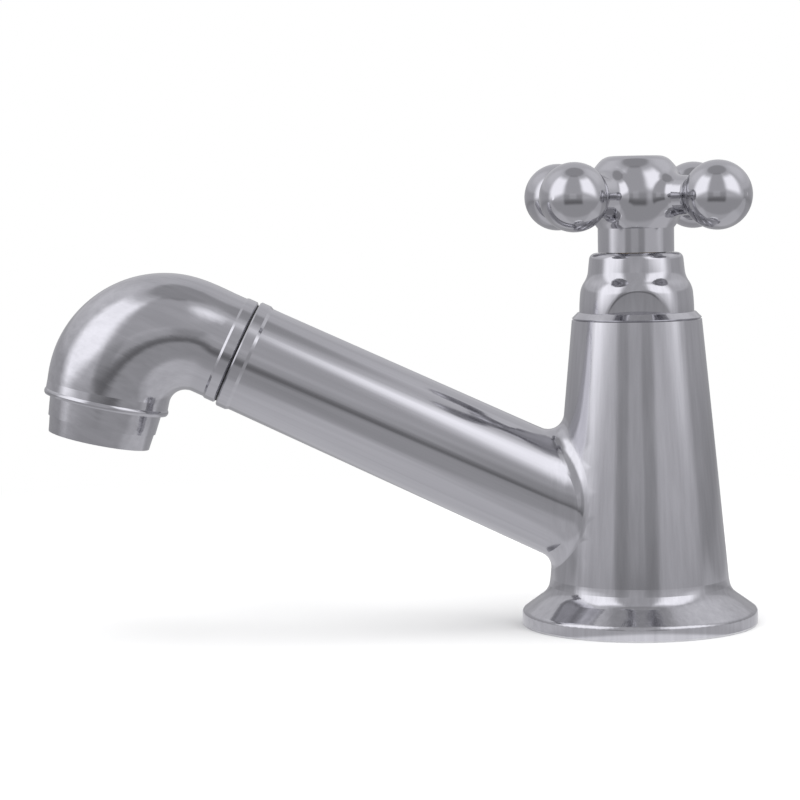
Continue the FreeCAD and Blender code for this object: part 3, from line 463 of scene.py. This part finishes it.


# the tent's glow: painted highlights and painted shade, its strength raised and lowered patch by patch
def makeTentPaintedGlow():
    material = bpy.data.materials.new("tentPaintedGlow")
    material.use_nodes = True
    tree = material.node_tree
    tree.nodes.remove(tree.nodes["Principled BSDF"])
    coords = tree.nodes.new("ShaderNodeTexCoord")
    shift = tree.nodes.new("ShaderNodeVectorMath")
    shift.operation = "SUBTRACT"
    shift.inputs[1].default_value = tent["centre"]
    link(tree, coords.outputs["Object"], shift.inputs[0])
    unit = tree.nodes.new("ShaderNodeVectorMath")
    unit.operation = "NORMALIZE"
    link(tree, shift.outputs[0], unit.inputs[0])
    parts = tree.nodes.new("ShaderNodeSeparateXYZ")
    link(tree, unit.outputs[0], parts.inputs[0])
    degrees = 180 / math.pi
    toFront = mathNode(tree, "MULTIPLY", parts.outputs["Y"], -1.0)
    azimuth = mathNode(tree, "MULTIPLY", mathNode(tree, "ARCTAN2", parts.outputs["X"], toFront), degrees)
    aside = mathNode(tree, "ABSOLUTE", azimuth)
    elevation = mathNode(tree, "MULTIPLY", mathNode(tree, "ARCSINE", parts.outputs["Z"]), degrees)
    terms = []
    for patch in tentPatches.values():
        acrossEdge, upwardEdge = patch["soft"]
        bearing = aside if patch.get("mirrored") else azimuth
        across = softWindow(tree, bearing, *patch["azimuth"], acrossEdge)
        low, high = patch["elevation"]
        slant = mathNode(tree, "MULTIPLY", aside, patch.get("slant", 0.0))
        slanted = mathNode(tree, "ADD", elevation, slant)
        rising = softStep(tree, slanted, low - upwardEdge, low + upwardEdge)
        falling = softStep(tree, elevation, high + upwardEdge, high - upwardEdge)
        upward = mathNode(tree, "MULTIPLY", rising, falling)
        inside = mathNode(tree, "MULTIPLY", across, upward)
        terms.append(mathNode(tree, "MULTIPLY", inside, patch["change"]))
    # painted light on the table: the brighter strip and the bright spot in front of the foot, only on the
    # tent's floor
    place = tree.nodes.new("ShaderNodeSeparateXYZ")
    link(tree, coords.outputs["Object"], place.inputs[0])
    onTable = softStep(tree, place.outputs["Z"], *tent["tableTop"])
    depth = mathNode(tree, "ABSOLUTE", place.outputs["Y"])
    width, edge = paintedTableLightStrip["halfWidth"], paintedTableLightStrip["edge"]
    nearMiddle = softStep(tree, depth, width + edge, width - edge)
    paintedLightStrip = mathNode(tree, "MULTIPLY", nearMiddle, paintedTableLightStrip["change"])
    fromSpot = centredDistance(tree, coords, paintedTableLightSpot["centre"])
    radius, edge = paintedTableLightSpot["radius"], paintedTableLightSpot["edge"]
    inSpot = softStep(tree, fromSpot, radius + edge, radius - edge)
    paintedLightSpot = mathNode(tree, "MULTIPLY", inSpot, paintedTableLightSpot["change"])
    terms.append(mathNode(tree, "MULTIPLY", mathNode(tree, "ADD", paintedLightStrip, paintedLightSpot), onTable))
    total = tent["level"]
    for term in terms:
        total = mathNode(tree, "ADD", term, total)
    glow = tree.nodes.new("ShaderNodeEmission")
    glow.inputs["Color"].default_value = tent["color"]
    link(tree, total, glow.inputs["Strength"])
    link(tree, glow.outputs["Emission"], tree.nodes["Material Output"].inputs["Surface"])
    return material


def makeTent():
    # a light tent standing round the tap, whose glow is painted light and shade which the chrome reflects;
    # it lights nothing and casts no shadow, and the camera looks through it
    mesh = bpy.data.meshes.new("lightTent")
    piece = linkObject("lightTent", mesh)
    radius, height = tent["radius"], tent["height"]
    corners = [(0.0, tent["lift"]), (radius, tent["lift"])]
    corners += [(radius * across, height * up) for across, up in tent["outline"]]
    bm = bmesh.new()
    points = [bm.verts.new((across, 0, up)) for across, up in corners]
    edges = [bm.edges.new(pair) for pair in zip(points, points[1:])]
    bmesh.ops.spin(bm, geom=points + edges, cent=(0, 0, 0), axis=(0, 0, 1), angle=math.tau,
                   steps=tent["sides"], use_merge=True)
    bmesh.ops.remove_doubles(bm, verts=bm.verts, dist=0.00001)
    bm.to_mesh(mesh)
    bm.free()
    mesh.materials.append(makeTentPaintedGlow())
    piece.visible_camera = False
    piece.visible_diffuse = False
    piece.visible_shadow = False


def makeLamp(name, place, target, width, height, power):
    data = bpy.data.lights.new(name, "AREA")
    data.shape = "RECTANGLE"
    data.size = width
    data.size_y = height
    data.energy = power
    lamp = linkObject(name, data)
    lamp.location = place
    away = Vector(place) - Vector(target)
    lamp.rotation_euler = away.to_track_quat("Z", "Y").to_euler()
    return lamp


makeFloor()
makeTent()

world = bpy.data.worlds.new("studioAir")
scene.world = world
world.use_nodes = True
worldTree = world.node_tree
air = worldTree.nodes["Background"]
link(worldTree, rangeNode(worldTree, seenRay(worldTree), *studio["airLevel"]), air.inputs["Strength"])
air.inputs["Color"].default_value = (1, 1, 1, 1)

lamps = {
    "lampTop": dict(place=(0.0, 0.1, 2.2), target=(-0.05, 0.2, 0.0), width=2.4, height=2.4, power=38.0),
    "lampLeft": dict(place=(-1.4, -1.4, 1.5), target=(-0.05, 0, 0.05), width=0.8, height=0.8, power=10.0),
    "lampRight": dict(place=(1.4, -1.4, 1.5), target=(-0.05, 0, 0.05), width=0.8, height=0.8, power=10.0),
}
for lampName, values in lamps.items():
    lamp = makeLamp(lampName, **values)
    lamp.visible_glossy = False
print("studio built")


# --- camera

view = dict(place=(-0.0530, -0.546, 0.09658), pitch=4.773, roll=-1.05, lens=110.51, sensor=36.0, near=0.01)
cameraData = bpy.data.cameras.new("photoView")
cameraData.sensor_width = view["sensor"]
cameraData.lens = view["lens"]
cameraData.clip_start = view["near"]
camera = linkObject("photoView", cameraData)
camera.matrix_world = (Matrix.Translation(view["place"])
                       @ Matrix.Rotation(math.radians(90 - view["pitch"]), 4, "X")
                       @ Matrix.Rotation(math.radians(view["roll"]), 4, "Z"))
scene.camera = camera
print("camera placed")

scene.view_settings.view_transform = "Standard"
